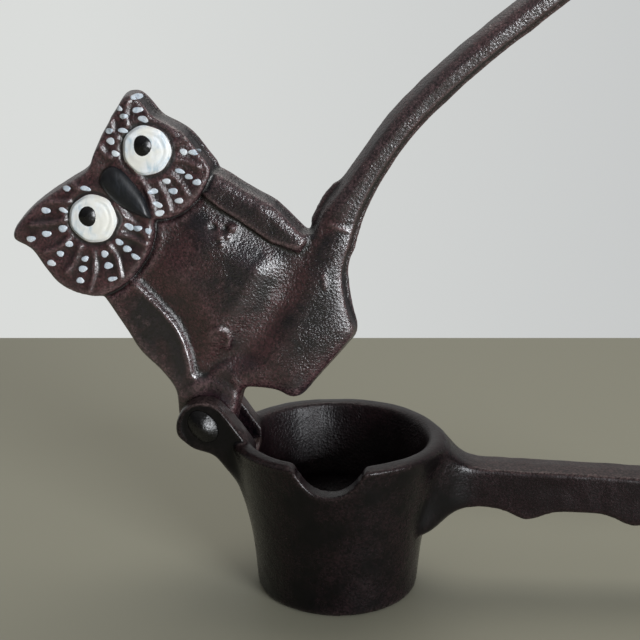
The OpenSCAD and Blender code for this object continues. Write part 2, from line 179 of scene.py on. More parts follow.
def iron_colour(material, drift, mottle, black, brown, rust, worn):
    """The colour of the skin, and how dull it is from 0 to 1."""
    high, low, oil = [add(material, "Attribute", {"attribute_name": name}).outputs["Fac"]
                      for name in ("high", "low", "rust")]
    mix = {"data_type": "RGBA"}
    broad = add(material, "MapRange", i0=drift, i1=0.40, i2=0.60)
    clean = add(material, "Math", {"operation": "MINIMUM"}, i0=oil, i1=0.0)
    browned = add(material, "Math", {"operation": "ADD", "use_clamp": True},
                  i0=broad.outputs[0], i1=clean.outputs[0]).outputs[0]
    base = add(material, "Mix", mix, i0=browned, i6=colour(black), i7=colour(brown))
    fleck = add(material, "MapRange", i0=mottle, i1=0.42, i2=0.58)
    spots = add(material, "Math", {"operation": "MULTIPLY"}, i0=fleck.outputs[0], i1=browned)
    dirt = add(material, "Math", {"operation": "MULTIPLY_ADD", "use_clamp": True},
               i0=spots.outputs[0], i1=FLECK_SHARE, i2=oil).outputs[0]
    rusty = add(material, "Mix", mix, i0=dirt, i6=base.outputs[2], i7=colour(rust))
    # the hollows are mixed towards near black: soot, and painted shade in creases and grooves
    sooty_and_shaded = add(material, "Mix", mix, i0=low, i6=rusty.outputs[2], i7=colour(SOOT_AND_SHADE))
    scuff = add(material, "MapRange", i0=mottle, i1=0.25, i2=0.7)
    rubbed = add(material, "Math", {"operation": "MULTIPLY"}, i0=high, i1=scuff.outputs[0])
    tone = add(material, "Mix", mix, i0=rubbed.outputs[0], i6=sooty_and_shaded.outputs[2], i7=colour(worn))
    dull = add(material, "Math", {"operation": "MAXIMUM"}, i0=dirt, i1=low)
    return tone.outputs[2], dull.outputs[0]


print("soot in linear light is %.4f" % colour(SOOT_AND_SHADE)[0])

# %% [markdown]
# ## The sand's print
# The pebbles of the sand could be carved into the mesh, but they are finer than its grid. A
# bump of fine noise and shallow pits draws them instead, fainter where hands have rubbed.

# %% Sand bump
GRAIN = 0.42           # mm, sand grain on the castings, drawn a little coarser than it is
PIT_WIDTH = 1.6        # a pit is this much wider than a grain
PIT_DEPTH = 0.65       # and this deep, where a grain is 1


def sand_bump(material, place, drift, pebbles):
    """The cast surface as a bump, `pebbles` mm deep."""
    grain = add(material, "TexNoise", Vector=place, Scale=per_mm(GRAIN), Detail=3.0, Roughness=0.6)
    pits = add(material, "TexVoronoi", {"feature": "SMOOTH_F1"}, Vector=place,
               Scale=per_mm(PIT_WIDTH * GRAIN), Smoothness=0.3)
    height = add(material, "Math", {"operation": "MULTIPLY_ADD"}, i0=pits.outputs["Distance"],
                 i1=PIT_DEPTH, i2=grain.outputs["Fac"])
    rub_mark = add(material, "MapRange", i0=drift, i1=0.35, i2=0.65, i3=0.5, i4=1.0)
    sanded = add(material, "Attribute", {"attribute_name": "sand"}).outputs["Fac"]
    depth = add(material, "Math", {"operation": "MULTIPLY"}, i0=sanded, i1=rub_mark.outputs[0])
    bump = add(material, "Bump", Strength=depth.outputs[0], Distance=pebbles * MM,
               Height=height.outputs[0])
    return bump.outputs[0]


print("sand pits are %.2f mm across" % (PIT_WIDTH * GRAIN))

# %% [markdown]
# ## Three irons
# The two castings and the rivet came from the same metal, but not with the same history. One
# recipe serves all three, with its own colours, shine and depth of grain for each.

# %% Iron materials
DRIFT = 10.0           # mm, broad drift between brown and black
MOTTLE = 0.95          # mm, flecks of oil and oxide
SPECK = 0.5            # mm, dark and light specks of the rough skin


def cast_iron(name, black, brown, rust, worn, ior, sheen, pebbles):
    """Blackened cast iron. sheen is its roughness, pebbles the depth of its grain in mm."""
    material, shader = new_material(name)
    place = add(material, "TexCoord").outputs["Object"]
    drift = add(material, "TexNoise", Vector=place, Scale=per_mm(DRIFT), Detail=3.0, Roughness=0.6)
    mottle = add(material, "TexNoise", Vector=place, Scale=per_mm(MOTTLE), Detail=5.0,
                 Roughness=0.7)
    tone, dull = iron_colour(material, drift.outputs["Fac"], mottle.outputs["Fac"],
                             black, brown, rust, worn)
    specks = add(material, "TexNoise", Vector=place, Scale=per_mm(SPECK), Detail=2.0, Roughness=0.5)
    fade = add(material, "MapRange", i0=specks.outputs["Fac"], i1=0.35, i2=0.65, i3=0.4, i4=1.65)
    freckled = add(material, "VectorMath", {"operation": "SCALE"}, i0=tone, Scale=fade.outputs[0])
    rough = add(material, "MapRange", i0=dull, i1=0.0, i2=1.0, i3=sheen - 0.03, i4=sheen + 0.15)
    bump = sand_bump(material, place, drift.outputs["Fac"], pebbles)
    shader.inputs["IOR"].default_value = ior
    finish_surface(material, shader, freckled.outputs[0], rough.outputs[0], bump)
    return material


# much handled: brown and violet-black, with a wet-looking shine on everything that bulges
OWL_IRON = cast_iron("blackened_iron_owl", "#120d13", "#2b181b", "#452427", "#5f4a4b",
                     1.85, 0.26, 0.21)
# seldom touched: nearly black all over, with a faint brown bloom and little shine
CUP_IRON = cast_iron("blackened_iron_cup", "#040305", "#0b0609", "#1b0d10", "#5c4c4a",
                     1.38, 0.27, 0.2)
# hammered smooth: black, with small bright glints and hardly any grain
RIVET_IRON = cast_iron("hammered_rivet_iron", "#040405", "#070606", "#0b0808", "#141416",
                       1.5, 0.24, 0.08)

# %% [markdown]
# ## Brushed enamel
# The face was painted by hand with a loaded brush. Thick oil enamel levels to a soft gloss, but
# keeps faint streaks, and warm and bluish places where the coat is thin. A painted image could
# hold those streaks, but a stretched noise gives them at any distance.

# %% Enamel materials
BRUSH_PULL = 0.35      # the streaks' Scale along the pull of the brush
OLD_PATCH = 5.0        # mm, places where the coat has yellowed
STREAK_DEPTH = 0.1     # mm


def enamel(name, thick, thin, warm, gloss, coat, streak=1.4):
    """Brushed enamel. thin and warm are its tints where it is thin or old, streak is in mm."""
    material, shader = new_material(name)
    place = add(material, "TexCoord").outputs["Object"]
    pulled = add(material, "Mapping", Vector=place, Scale=(1.0, 1.0, BRUSH_PULL))
    brush = add(material, "TexNoise", Vector=pulled.outputs[0], Scale=per_mm(streak), Detail=3.0,
                Distortion=0.6).outputs["Fac"]
    patches = add(material, "TexNoise", Vector=place, Scale=per_mm(OLD_PATCH), Detail=2.0)
    cover = add(material, "MapRange", i0=brush, i1=0.45, i2=0.68)
    old = add(material, "MapRange", i0=patches.outputs["Fac"], i1=0.45, i2=0.65)
    brushed = add(material, "Mix", {"data_type": "RGBA"}, i0=cover.outputs[0],
                  i6=colour(thick), i7=colour(thin))
    tone = add(material, "Mix", {"data_type": "RGBA"}, i0=old.outputs[0],
               i6=brushed.outputs[2], i7=colour(warm))
    bump = add(material, "Bump", Strength=0.35, Distance=STREAK_DEPTH * MM, Height=brush)
    rough = add(material, "MapRange", i0=brush, i1=0.3, i2=0.7, i3=gloss - 0.04, i4=gloss + 0.08)
    shader.inputs["Coat Weight"].default_value = coat
    shader.inputs["Coat Roughness"].default_value = 0.12
    finish_surface(material, shader, tone.outputs[2], rough.outputs[0], bump.outputs[0])
    return material


# two coats of white: a clean, satin face with bluish streaks and creamy clouds
WHITE = enamel("brushed_white_enamel", "#f4f8fa", "#bfd2de", "#f1f0e8", 0.45, 0.0)
# a full drop of black: deep and wet, with one soft glint
BLACK = enamel("gloss_black_enamel", "#0b0b0d", "#121317", "#0e0c0c", 0.26, 0.1)
# blue-black rubbed by handling: satin, with short fine streaks
BEAK = enamel("satin_blue_black_enamel", "#121519", "#1c2026", "#17171a", 0.4, 0.1, 0.8)
# white with a touch of blue: cool and satin beside the brown iron
DOT = enamel("cool_white_enamel", "#ccd6df", "#a9b7c5", "#d7dce0", 0.4, 0.15, 0.9)

# %% [markdown]
# ## A fresh skin for the castings
# CAD solids are made of flat facets with crisp edges, but a casting has no sharp edge anywhere.
# A bevel could round them one by one. A voxel remesh lays an even grid of small quads over the
# whole form instead, which a few rounds of smoothing soften as sand does, and which is fine
# enough to carve by moving its points.

# %% Recast a node
def recast(name, node, voxel, rounds):
    """A new object with the node's form as an even mesh. voxel is in mm."""
    mesh = frame["nodes"][node].data.copy()
    mesh.materials.clear()
    work = bmesh.new()
    work.from_mesh(mesh)
    bmesh.ops.remove_doubles(work, verts=work.verts, dist=1e-7)
    work.to_mesh(mesh)
    work.free()
    piece = bpy.data.objects.new(name, mesh)
    bpy.context.scene.collection.objects.link(piece)
    skin = piece.modifiers.new("skin", "REMESH")
    skin.mode = "VOXEL"
    skin.voxel_size = voxel * MM
    soft = piece.modifiers.new("soft", "SMOOTH")
    soft.factor = 0.5
    soft.iterations = rounds
    seen = piece.evaluated_get(bpy.context.evaluated_depsgraph_get())
    solid = bpy.data.meshes.new_from_object(seen)
    piece.modifiers.clear()
    piece.data = solid
    piece.data.name = name
    print(name, "has", len(solid.polygons), "faces")
    return piece


owl = recast("owl_iron", "owl_lever", 0.4, 3)
cup = recast("cup_iron", "cup_casting", 0.5, 3)

# %% [markdown]
# ## Points as arrays
# Carving moves a hundred thousand points. A Python loop over them is slow, so they are read
# into a numpy array, worked on all at once, and written back.

# %% Read and write points
def points_of(piece):
    """The piece's points and normals as arrays. The points are in mm."""
    count = len(piece.data.vertices)
    points = np.empty(3 * count)
    piece.data.vertices.foreach_get("co", points)
    normals = np.empty(3 * count, np.float32)
    piece.data.vertex_normals.foreach_get("vector", normals)
    return points.reshape(-1, 3) / MM, normals.reshape(-1, 3).astype(float)


def put_points(piece, points):
    """Moves the piece's points to places in mm."""
    piece.data.vertices.foreach_set("co", (points * MM).ravel())
    piece.data.update()


print("the cup reaches up to %.1f mm" % points_of(cup)[0][:, 2].max())

# %% [markdown]
# ## Carving tools: lumps
# A casting is never quite even. Smooth random lumps give that: a random value at each corner of
# a grid, blended in between. They are computed from whole numbers, so every run gives the same.

# %% Random lumps
def lumps(points, size, seed):
    """Smooth random lumps about `size` mm across, from -1 to 1."""
    grid = points / size + 0.37 * seed
    cell = np.floor(grid).astype(np.int64)
    part = grid - cell
    part = part * part * (3 - 2 * part)
    total = np.zeros(len(points))
    for corner in itertools.product((0, 1), repeat=3):
        cx, cy, cz = (cell + np.array(corner)).T
        code = (cx * 73856093) ^ (cy * 19349663) ^ (cz * 83492791) ^ (seed * 40503)
        code = ((code ^ (code >> 13)) * 1274126177) & 0xFFFFFFFF
        value = ((code ^ (code >> 15)) & 0xFFFF) / 32767.5 - 1
        total += value * np.prod(np.where(corner, part, 1 - part), axis=1)
    return total


print("lumps along a line:", lumps(np.eye(3) * 9, 2.0, 1).round(2))

# %% [markdown]
# ## Carving tools: lines
# A ridge, groove or crack follows a drawn line. Each line is a few stops with a smooth curve
# through them, and a bead is a soft hill that falls off with the distance from that curve.

# %% Lines and beads
def curve(stops, steps=6):
    """A smooth line through a few [x, z] stops, in mm."""
    stops = [np.array(s, float) for s in stops]
    ends = [2 * stops[0] - stops[1]] + stops + [2 * stops[-1] - stops[-2]]
    line = []
    for a, b, c, d in zip(ends, ends[1:], ends[2:], ends[3:]):
        for t in np.arange(steps) / steps:
            bend = t * (2 * a - 5 * b + 4 * c - d + t * (3 * (b - c) + d - a))
            line.append(b + 0.5 * t * (c - a + bend))
    return np.array(line + [stops[-1]])


def away(flat, line):
    """Distance in mm of each [x, z] point from a line."""
    best = np.full(len(flat), 1e9)
    for a, b in zip(line[:-1], line[1:]):
        along = np.clip((flat - a) @ (b - a) / ((b - a) @ (b - a)), 0, 1)
        best = np.minimum(best, np.linalg.norm(flat - a - along[:, None] * (b - a), axis=1))
    return best


def bead(flat, stops, width):
    """1 on a drawn line, falling to nothing about `width` mm to each side."""
    return np.exp(-(away(flat, curve(stops)) / (0.55 * width)) ** 2)


print("a curve through 3 stops has", len(curve([(0, 0), (1, 1), (2, 0)])), "points")

# %% [markdown]
# ## Carving tools: blending
# Zones of the relief have to meet without a step. `ease` fades one in over a few millimetres,
# `blend` goes from one height to another, and `soften` melts the carved mesh a little, as
# molten iron rounds whatever was cut in the sand.

# %% Blend and soften
MELT = 0.6             # how far a point moves towards its neighbours in one round


def ease(value, start, end):
    """0 before start, 1 after end, and a smooth step between them."""
    t = np.clip((value - start) / (end - start), 0, 1)
    return t * t * (3 - 2 * t)


def blend(under, over, weight):
    """Goes from under to over as weight goes from 0 to 1."""
    return under + (over - under) * weight


def soften(piece, points, weight, rounds):
    """Melts the points towards their neighbours, as much as weight says."""
    edges = np.empty(2 * len(piece.data.edges), np.int32)
    piece.data.edges.foreach_get("vertices", edges)
    a, b = edges.reshape(-1, 2).T
    size = len(points)
    count = np.bincount(a, minlength=size) + np.bincount(b, minlength=size)
    for _ in range(rounds):
        sums = [np.bincount(a, points[b, k], size) + np.bincount(b, points[a, k], size)
                for k in range(3)]
        mean = np.stack(sums, axis=1) / count[:, None]
        points = points + weight[:, None] * MELT * (mean - points)
    return points


print("ease from 0 to 4 at 1, 2 and 3:", ease(np.array([1, 2, 3]), 0, 4).round(2))

# %% [markdown]
# ## The owl, stood upright
# The lever hangs open on its rivet, which makes its places hard to think about. All carving on
# it is drawn on the upright owl: x to the right and z up from the hinge, in millimetres.

# %% Upright coordinates
HINGE = np.array(frame["joints"][0]["pos_m"]) / MM
SWING = math.radians(50)      # the lever is drawn this far open
COS, SIN = math.cos(SWING), math.sin(SWING)


def upright(points):
    """Places of the lever's points on the upright owl, about the hinge."""
    px, py, pz = (points - HINGE).T
    return np.stack([px * COS + pz * SIN, py, pz * COS - px * SIN], axis=1)


def swung(points):
    """The opposite of upright."""
    px, py, pz = points.T
    return np.stack([px * COS - pz * SIN, py, pz * COS + px * SIN], axis=1) + HINGE


points, normals = points_of(owl)
place = upright(points)
x, y, z = place.T
flat = place[:, [0, 2]]
sideways = upright(normals + HINGE) * [1, 0, 1]     # each normal, seen from the front
print("owl stands", place.min(0).round(1), "to", place.max(0).round(1))

# %% [markdown]
# ## How far from the rim
# Much of a casting's shape follows its outline: bevels, rolled edges, the round back of the
# handle. So each point gets its distance from the nearest side wall, seen from the front. The
# walls that look down and those that look up are kept apart, because the handle needs both.

# %% Distance from the outline
LOWER_SIDE = np.array([math.sin(0.5), 0, -math.cos(0.5)])    # the way the lower walls look
MIDDLE = 2.5           # mm to each side of the parting line, where a wall is looked for


def from_wall(chosen):
    """Each point's distance in mm from the chosen side walls, seen from the front."""
    side_on = (np.abs(normals[:, 1]) < 0.5) & (np.abs(y) < MIDDLE)
    wall = np.flatnonzero(chosen & side_on)[::3]
    tree = KDTree(len(wall))
    for index in wall:
        tree.insert((*flat[index], 0), index)
    tree.balance()
    return np.array([tree.find((*p, 0))[2] for p in flat])


from_lower = from_wall(sideways @ LOWER_SIDE > 0)
from_upper = from_wall(sideways @ LOWER_SIDE <= 0)
inset = np.minimum(from_lower, from_upper)
print("deepest point is %.1f mm from the outline" % inset.max())

# %% [markdown]
# ## The handle's upper side
# CAD gives the handle a plain section. The real one is round above, so its upper side is melted
# for many rounds before anything is carved.

# %% Round the handle's upper side
rounded = ease(x, 60, 67) * (1 - ease(from_upper, 2.5, 5.0))
put_points(owl, soften(owl, points, rounded, 24))
points, normals = points_of(owl)
place = upright(points)
x, y, z = place.T
sideways = upright(normals + HINGE) * [1, 0, 1]
print("%d points of the handle were melted" % (rounded > 0).sum())

# %% [markdown]
# ## Lines of the body
# The belly lies between a ridge on the left wing and the overhanging right wing. A valley below
# it divides it from the press foot. These lines are drawn first, and each point then knows on
# which side of them it lies, and how far.

# %% Lines of the body
LEFT_RIDGE = [(15.1, 35.9), (14.9, 32.1), (14.3, 26.7), (13.4, 21.0), (11.4, 16.4), (8.4, 12.2),
              (6.0, 9.6)]
RIGHT_EDGE = [(42.1, 35.0), (42.3, 30.0), (43.1, 24.4), (43.9, 15.9), (46.2, 10.0)]
VALLEY = [(11.0, 6.4), (19.5, 3.9), (25.9, 4.0), (33.0, 4.9), (39.4, 6.6), (44.2, 8.6),
          (48.0, 8.4), (57.0, 9.4)]
WING_FOOT = [(42.0, 11.5), (46.5, 9.4), (49.5, 9.6), (52.5, 11.2)]
NECK_RIDGE = [(12.2, 1.6), (11.4, -0.4), (9.2, -2.6), (7.0, -3.8)]
SHOULDER = [(28.6, 37.6), (27.2, 36.0), (22.0, 34.4), (16.4, 34.6), (14.6, 33.0)]


def across(stops, key, value):
    """Where a drawn line lies, as a function of the other coordinate."""
    stops = np.array(sorted(stops, key=lambda stop: stop[key]))
    return np.interp(value, stops[:, key], stops[:, 1 - key])


right_of_ridge = x - across(LEFT_RIDGE, 1, z)
left_of_wing = across(RIGHT_EDGE, 1, z) - x
above_valley = z - across(VALLEY, 0, x)
above_wing_foot = z - across(WING_FOOT, 0, x)
print("%d points lie on the belly" % ((right_of_ridge > 0) & (left_of_wing > 0)
                                      & (above_valley > 0)).sum())

# %% [markdown]
# ## Heights of the body's zones
# Each zone gets its own height, in mm in front of the wings' flat. The belly is a pillow in a
# shallow dish, the foot swells and rolls off at its outer edge, and the handle is steepest along
# its lower side, where it catches the light.

# %% Heights of the zones
def roll_off(depth, reach):
    """A rounded edge that drops by depth mm over the last reach mm before the outline."""
    return -depth * (1 - np.minimum(inset, reach) / reach) ** 2


wing = roll_off(0.5, 2.5)
neck = -0.3 + roll_off(0.8, 3.0)
valley = -1.3 + 0.8 * ease(x, 45, 54) + 0.8 * (1 - ease(x, 12, 19))
foot = blend(valley, 0.35, ease(-above_valley, 0, 7.5)) + roll_off(1.1, 6.5)
pillow = ease(right_of_ridge, 0.5, 11) * ease(left_of_wing, -0.5, 9.0) * ease(above_valley, 0, 9)
belly = -1.25 + 2.4 * pillow * (1 - 0.75 * ease(z, 26, 36))
right_wing = 0.25 - 1.1 * (1 - np.minimum(inset, 3.0) / 3.0) ** 1.5
share = from_lower / (from_lower + from_upper)      # 0 at the handle's lower side, 1 at its upper
lower_slope = -1.3 * (1 - np.minimum(share / 0.85, 1)) ** 2.1
handle = lower_slope - 2.4 * (1 - np.minimum(from_upper, 3.8) / 3.8) ** 2
print("the belly's pillow rises to %.2f mm" % belly.max())

# %% [markdown]
# ## Join the zones
# The zones are laid over each other from the wings outwards, each faded in across its line. The
# ridges come last, as beads on top.

# %% Join the zones
on_neck = (1 - ease(z, 8, 11)) * (1 - ease(x, 11, 14))
on_foot = (1 - ease(above_valley, 1, 2.5)) * ease(x, 10, 15)
on_belly = (ease(right_of_ridge, -0.4, 1.4) * ease(left_of_wing, -0.3, 0.3)
            * ease(above_valley, -1, 1))
on_right_wing = (1 - ease(left_of_wing, -0.4, 0.2)) * ease(above_wing_foot, -0.6, 0.6)
on_handle = ease(x, 54, 61)

height = blend(wing, neck, on_neck)
height = blend(height, foot, on_foot)
height = blend(height, belly, on_belly)
height = blend(height, right_wing, on_right_wing * (z > 8))
height = blend(height, handle, on_handle)
for line, tall, width in ((LEFT_RIDGE, 0.25, 1.6), (NECK_RIDGE, 0.3, 1.2), (SHOULDER, 0.3, 1.2)):
    height += tall * bead(flat, line, width)
print("body relief from %.2f to %.2f mm" % (height.min(), height.max()))

# %% [markdown]
# ## Marks of the foundry
# A low oval shows where a gate fed the iron, with a crescent at its edge. Near the right wing a
# cluster of small lumps and pits is a flaw in the sand. Broad, faint unevenness lies over
# everything.

# %% Carve the foundry marks
GATE_MARK = (17.9, 10.6)
GATE_CRESCENT = [(19.7, 12.0), (20.4, 10.4), (19.4, 8.4), (17.2, 7.4)]
# each lump of the flaw: its x and z, its size and its height, which is negative for a pit
FLAW = [(40.7, 24.8, 1.1, 1.4), (38.6, 24.4, 0.8, 0.9), (37.4, 25.7, 0.9, 1.1),
        (39.4, 26.2, 0.7, -1.1), (37.9, 28.4, 0.8, -1.2), (36.3, 24.3, 0.6, 0.8)]
THUMB_LUMP = [(56.3, 7.9), (57.0, 5.9), (57.8, 3.8)]
SMALL_RIDGE = [(46.3, 1.3), (44.1, -1.1)]

gate = ((x - GATE_MARK[0]) / 2.3) ** 2 + ((z - GATE_MARK[1]) / 3.1) ** 2
height += 0.2 * (1 - ease(gate, 0.8, 1.1)) + 0.55 * bead(flat, GATE_CRESCENT, 0.8)
for mid_x, mid_z, size, tall in FLAW:
    height += tall * np.exp(-((x - mid_x) ** 2 + (z - mid_z) ** 2) / (0.75 * size) ** 2)
height += 0.25 * bead(flat, THUMB_LUMP, 0.9) + 0.4 * bead(flat, SMALL_RIDGE, 0.8)
for tall, size, seed in ((0.13, 6.0, 3), (0.05, 2.6, 5), (0.03, 1.2, 6)):
    height += tall * lumps(points, size, seed)
print("with marks from %.2f to %.2f mm" % (height.min(), height.max()))

# %% [markdown]
# ## The owl's face
# Each eye sits in a disc of carved feathers: low ridges that fan out from the eye, with a row
# of painted dots in each furrow. A dark furrow runs round the eye, and a ridge lies along each
# side of the beak.

# %% Lines of the face
EYES = {}
for side in ("left", "right"):
    corners = np.array([list(c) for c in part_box("eye_white_" + side)]) / MM
    EYES[side] = upright(corners.mean(0)[None])[0]
# each feather ridge: angle and distance from the eye where it starts, then where it ends
RIDGES = {
    "left": [(-142, 8.0, -146, 17.5), (-168, 7.6, -169, 15.0), (169, 8.0, 164, 14.5),
             (134, 6.8, 136, 15.0), (96, 6.8, 110, 11.5), (-111, 7.0, -117, 15.5),
             (-80, 6.8, -76, 14.0), (64, 7.8, 70, 10.5)],
    "right": [(59, 11.7, 78, 6.8), (90, 10.6, 110, 7.0), (125, 11.0, 141, 8.8),
              (-95, 7.8, -98, 13.8), (-122, 7.8, -120, 15.0), (-142, 9.0, -136, 12.9),
              (-66, 7.0, -67, 12.5), (-38, 7.0, -36, 10.4), (35, 7.6, 30, 10.5)]}
CHEEK = [(27.9, 49.6), (26.9, 46.6), (25.2, 45.0), (23.1, 44.8)]
BEAK_LEFT = [(27.0, 50.0), (26.7, 45.0), (26.5, 41.0), (26.4, 38.0)]
BEAK_RIGHT = [(37.0, 53.4), (36.1, 48.6), (34.3, 44.4), (31.4, 40.4)]
print("the eyes are %.1f mm apart" % np.linalg.norm(EYES["left"] - EYES["right"]))

# %% [markdown]
# ## Carve the face
# Every ridge bends a little on its way, and its height wavers, because the pattern was carved
# by hand.

# %% Carve the face
EYE_FURROW = 6.1       # mm, radius of the furrow round each eye
BOWL = 10              # mm, radius where the disc is lowest
BEND = 2               # degrees that a ridge bends by half way

face = roll_off(0.7, 1.3)
ridge_height = 0.65 + 0.3 * lumps(points, 1.4, 11)
for side, (ex, _, ez) in EYES.items():
    reach = np.hypot(x - ex, z - ez)
    face -= 0.45 * np.exp(-((reach - EYE_FURROW) / 0.55) ** 2)
    face -= 0.35 * np.exp(-((reach - BOWL) / 2.6) ** 2)
    for a, near, b, far in RIDGES[side]:
        stops = ((a, near), ((a + b) / 2 + BEND, (near + far) / 2), (b, far))
        ends = [(ex + r * math.cos(math.radians(w)), ez + r * math.sin(math.radians(w)))
                for w, r in stops]
        face += ridge_height * bead(flat, ends, 0.85)
for line, width in ((CHEEK, 1.0), (BEAK_LEFT, 0.9), (BEAK_RIGHT, 0.9)):
    face += 0.5 * bead(flat, line, width)
face += 0.06 * lumps(points, 1.3, 7) + 0.10 * lumps(points, 4.0, 8)
print("face relief from %.2f to %.2f mm" % (face.min(), face.max()))

# %% [markdown]
# ## Lay the relief on the owl
# The front of the body moves to its height, and the head's front to the face's. The side walls
# follow only in part, so that nothing folds. A moat under the head lets its rim stand clear.

# %% Lift the front
BODY_FRONT = -4.75     # mm, where CAD has the flat of the wings

on_head = ease(-y, 5.2, 5.7) * ease(z, 33.0, 34.5)
inner = ease(inset, 0.9, 2.2) * ease(-y, 2.0, 3.0)
squeeze = np.clip(y / BODY_FRONT, 0, 1)

head_line = KDTree(len(flat))
for index in np.flatnonzero((on_head > 0.5) & (z < 46))[::2]:
    head_line.insert((*flat[index], 0), index)
head_line.balance()
near_head = np.full(len(flat), 9.0)
for index in np.flatnonzero((z > 28) & (z < 46) & (y < 0)):
    near_head[index] = head_line.find((*flat[index], 0))[2]
height -= 0.7 * (1 - ease(near_head, 0.3, 1.6)) * (1 - on_head)
body_lift = blend(squeeze * height, y - BODY_FRONT + height, inner)
lift = blend(body_lift, squeeze * face, on_head)
print("the front moves by up to %.1f mm" % np.abs(lift).max())

# %% [markdown]
# ## Parting line
# The mould's two halves met along the middle of the thickness, and the front half sat a little
# off the back half. So a thin strip of the back half shows along the handle and the foot, and
# elsewhere a low fin runs round the edge. At the handle's root the fin is a whole flange.

# %% Parting line
SLIP = 0.65            # mm, how far the front half of the mould sat above the back half
GROOVE = 0.4           # mm, depth of the groove beside the strip
FLANGE = [(54.5, 11.6), (58.5, 12.6), (63.5, 12.2)]

edge = ease(np.hypot(sideways[:, 0], sideways[:, 2]), 0.5, 0.9)
fin = np.exp(-(y / 0.45) ** 2) * (0.14 + 0.10 * lumps(points, 5.0, 21))
flange = 0.9 * ease(2.6 - np.abs(y - 0.6), 0, 0.8) * bead(flat, FLANGE, 2.6)
uneven = 0.09 * lumps(points, 3.2, 31) + 0.10 * lumps(points, 8.0, 32)
below = ease(x, 40, 46) * ease(sideways @ LOWER_SIDE, 0.2, 0.7)
step = below * (SLIP * ease(-y, 0.5, 1.1) + GROOVE * np.exp(-((-y - 0.9) / 0.4) ** 2))
spread = (fin * (1 - below) + flange + uneven - step) * edge
print("the edge moves by up to %.1f mm" % np.abs(spread).max())

# %% [markdown]
# ## Carve the owl
# All moves are added up and made at once. Then the iron is melted for three rounds, less on the
# face and at the small marks, which would drown. The knuckle stays thin enough for its slot.

# %% Carve the owl
TONGUE_HALF = 4.75     # mm, half the knuckle's thickness

free = ease(np.hypot(x, z), 8.5, 11.0)   # 0 at the knuckle, which has to keep its shape
shift = np.zeros((len(points), 3))
shift[:, 1] = -lift + uneven * (normals[:, 1] > 0.5)
shift += sideways * spread[:, None]
near_flaw = np.exp(-((x - 38.7) ** 2 + (z - 26) ** 2) / 3.5 ** 2)
flawed = np.maximum.reduce([near_flaw] + [bead(flat, line, 3.0)
                                          for line in (LEFT_RIDGE, GATE_CRESCENT, THUMB_LUMP)])
melting = 0.7 * (1 - 0.6 * np.maximum(on_head, flawed)) * free
moved = soften(owl, swung(place + shift * free[:, None]), melting, 3)
tongue = np.hypot(x, z) < 12
moved[tongue, 1] = np.clip(moved[tongue, 1], -TONGUE_HALF, TONGUE_HALF)
put_points(owl, moved)
print("owl carved, moved by up to %.1f mm" % np.abs(shift).max())

# %% [markdown]
# ## Wear, soot and painted shade
# Where the surface bulges it has been rubbed. Where it is hollow it has kept its soot, and it is
# darkened as painted shade, as creases and grooves are. Both are measured by comparing each
# point with the mean of its neighbourhood. They could be painted on by hand, but a measured
# mask follows every small mark.

# %% Measure high and low places
def measure_wear_and_shade(piece, spread, full, sand, worn=0, rust=0):
    """Writes the four masks.

    spread is the rounds of smoothing that give a point its neighbourhood's mean, and full is
    the bulge in mm that counts as fully worn.
    """
    points, normals = points_of(piece)
    blurred = soften(piece, points, np.ones(len(points)), spread)
    bulge = ((points - blurred) * normals).sum(1)
    high = np.clip(bulge / full + worn, 0, 1)
    # low is how hollow a point is: soot, and painted shade in creases and grooves
    masks = {"high": high, "low": np.clip(-bulge / full, 0, 1),
             "rust": rust + 0 * high, "sand": sand + 0 * high}
    for name, values in masks.items():
        layer = piece.data.attributes.new(name, "FLOAT", "POINT")
        layer.data.foreach_set("value", values.astype(np.float32))
    print(piece.name, "is worn on %.0f%% of its points" % (100 * (high > 0.5).mean()))


print("each mask on the owl will hold", len(points), "values")

# %% [markdown]
# ## Black and brown on the owl
# The black skin is whole on the belly's bulge, the foot, the wings and along both edges of the
# handle. On the foot's lower left the black is also painted shade, where the foot turns away
# from the lamp. Old oil has turned the iron brown in the valley, beside the ridge, on the face
# and high on the belly.

# %% Black and brown places
front = y < 0


def oval_patch(mid_x, mid_z, wide, tall):
    """A soft oval patch on the owl's front."""
    return np.exp(-((x - mid_x) / wide) ** 2 - ((z - mid_z) / tall) ** 2) * front


def strip(distance, middle, width):
    """A soft strip `width` mm to each side of a place beside a line."""
    return np.exp(-((distance - middle) / width) ** 2)


right_wing_skin = on_right_wing * (x < 55) * (1 - on_head)
wing_strip = strip(right_of_ridge, -2.5, 2.4) * ease(z, 10, 14) * (1 - ease(z, 30, 34))
black = np.maximum.reduce([
    oval_patch(35, 17, 4, 6.5), oval_patch(50, 3.5, 5, 4), oval_patch(44, -3, 7, 5),
    # the patch at 34, -6 is black skin and painted shade: it darkens the foot's lower left, which
    # turns away from the lamp
    0.8 * oval_patch(34, -6, 9, 5), 0.6 * right_wing_skin * front, 0.9 * wing_strip,
    strip(from_upper, 3.3, 1.2) * ease(x, 56, 60) * front,
    strip(from_lower, 1.4, 1.3) * ease(x, 48, 53) * front])

side_wall = ease(np.hypot(sideways[:, 0], sideways[:, 2]), 0.6, 0.9) * (z > 0)
hollow = 0.9 * strip(right_of_ridge, 1.5, 0.9) * ease(z, 6, 9) * (1 - ease(z, 33, 36))
dull_neck = 0.15 * (1 - ease(z, 9, 12)) * (1 - ease(x, 12, 16))
oily = 0.5 * strip(above_valley, -1.0, 2.6) * ease(x, 12, 18) * front
pink_lump = bead(flat, THUMB_LUMP, 1.0) * front
brown = np.maximum.reduce([oily, 0.6 * pink_lump, hollow, dull_neck, 0.15 * side_wall,
                           0.25 * on_head, 0.3 * oval_patch(23, 27, 8, 8)])
print("black skin on %.0f%% of the owl" % (100 * (black > 0.5).mean()))

# %% [markdown]
# ## Roughness and bare spots of the owl
# The left wing and the handle are smooth from handling, the right half of the body is sandy.
# Small spots of the skin have flaked off, and thumbs have rubbed the neck and the lump at the
# handle's root.

